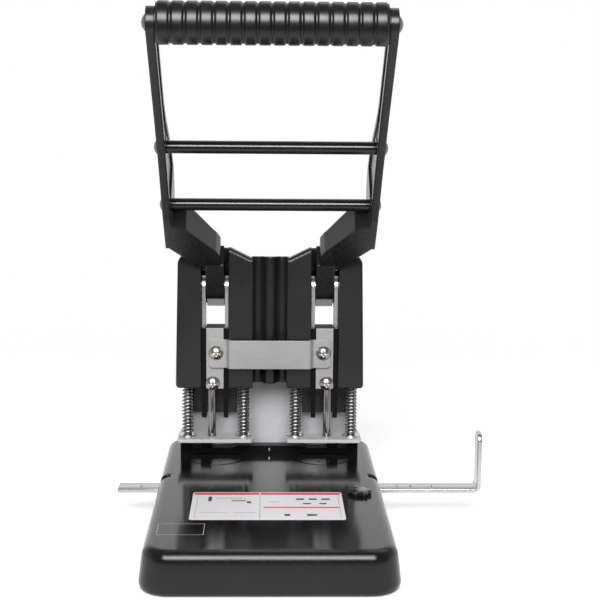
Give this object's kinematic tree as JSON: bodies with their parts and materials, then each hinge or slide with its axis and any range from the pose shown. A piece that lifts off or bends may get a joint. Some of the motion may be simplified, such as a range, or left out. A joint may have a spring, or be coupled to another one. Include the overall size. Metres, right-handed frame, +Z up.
{
  "type": "heavy duty hole punch",
  "caption": "Lever-operated desk punch for thick paper stacks, with a black steel base, a cast head, sprung stripper plates, a ribbed grip and a sliding paper guide.",
  "frame": {"origin": "on the surface it stands on, on the mid-plane, in the plane of the two punch pins", "axes": "+X to the right, +Y away from the user, +Z up"},
  "size_m": [0.24, 0.268, 0.3286],
  "materials": {
    "black_coat": "satin black powder coat",
    "head_paint": "satin black paint",
    "lever_paint": "satin black paint",
    "black_oxide": "blackened steel",
    "satin_plate": "satin zinc plated sheet",
    "steel": "plain steel",
    "zinc": "satin zinc plate",
    "bright_steel": "bright plated steel",
    "rubber": "moulded black rubber",
    "plastic": "black plastic"
  },
  "bodies": {
    "frame": {"base_pan": "black_coat", "bottom_cover": "black_coat", "anvil_plate": "steel", "back_plate": "satin_plate", "frame_bolts": "steel", "punch_head": "head_paint", "lever_axle": "steel", "axle_clips": "steel", "pivot_spacers": "black_oxide", "stripper_plate_left": "zinc", "stripper_plate_right": "zinc", "guide_rods": "black_oxide", "rod_washers": "bright_steel", "spring_left_outer": "bright_steel", "spring_left_inner": "bright_steel", "spring_right_inner": "bright_steel", "spring_right_outer": "bright_steel", "guide_clamp": "steel", "paper_stop": "black_oxide"},
    "lever": {"lever_arm_left": "lever_paint", "lever_arm_right": "lever_paint", "crossbar_upper": "lever_paint", "crossbar_lower": "lever_paint", "crossbar_bolts": "lever_paint", "grip_core": "steel", "grip_sleeve": "rubber", "grip_bolts": "lever_paint", "nose_pins": "bright_steel"},
    "links_left": {"link_plates_left": "zinc"},
    "links_right": {"link_plates_right": "zinc"},
    "crosshead": {"ram_left": "black_oxide", "ram_right": "black_oxide", "link_pins": "bright_steel", "punch_holder_left": "zinc", "punch_holder_right": "zinc", "tie_bracket": "zinc", "holder_screws": "bright_steel", "punch_pin_left": "bright_steel", "punch_pin_right": "bright_steel"},
    "disc_left": {"cutting_disc_left": "plastic"},
    "disc_right": {"cutting_disc_right": "plastic"},
    "paper_guide": {"guide_bar": "zinc"},
    "knob": {"lock_knob": "plastic"}
  },
  "joints": [
    {"name": "lever_swing", "type": "hinge", "parent": "frame", "child": "lever", "pos_m": [0, 0.02111, 0.14059], "axis": [1, 0, 0], "range_deg": [0, 40], "stiffness_Nm_per_rad": 3.5, "springref_deg": -68.75},
    {"name": "link_left_turn", "type": "hinge", "parent": "lever", "child": "links_left", "pos_m": [-0.0374, 0, 0.14745], "axis": [1, 0, 0], "range_deg": [-40.1, 0]},
    {"name": "link_right_turn", "type": "hinge", "parent": "lever", "child": "links_right", "pos_m": [0.0374, 0, 0.14745], "axis": [1, 0, 0], "range_deg": [-40.1, 0]},
    {"name": "crosshead_slide", "type": "slide", "parent": "frame", "child": "crosshead", "axis": [0, 0, -1], "range_m": [0, 0.0152], "deforming": ["spring_left_outer", "spring_left_inner", "spring_right_inner", "spring_right_outer"]},
    {"name": "guide_slide", "type": "slide", "parent": "frame", "child": "paper_guide", "axis": [1, 0, 0], "range_m": [-0.055, 0.02]},
    {"name": "knob_turn", "type": "hinge", "parent": "frame", "child": "knob", "pos_m": [0.0575, -0.0895, 0.026], "axis": [0, 0, 1], "range_deg": [0, 180]},
    {"name": "disc_left_turn", "type": "hinge", "parent": "frame", "child": "disc_left", "pos_m": [-0.0374, 0, 0.026], "axis": [0, 0, 1], "continuous": true},
    {"name": "disc_right_turn", "type": "hinge", "parent": "frame", "child": "disc_right", "pos_m": [0.0374, 0, 0.026], "axis": [0, 0, 1], "continuous": true}
  ],
  "couplings": [
    {"joint": "link_left_turn", "follows": "lever_swing", "ratio": -1},
    {"joint": "link_right_turn", "follows": "lever_swing", "ratio": -1},
    {"joint": "crosshead_slide", "follows": "lever_swing", "m_per_rad": 0.021739}
  ]
}
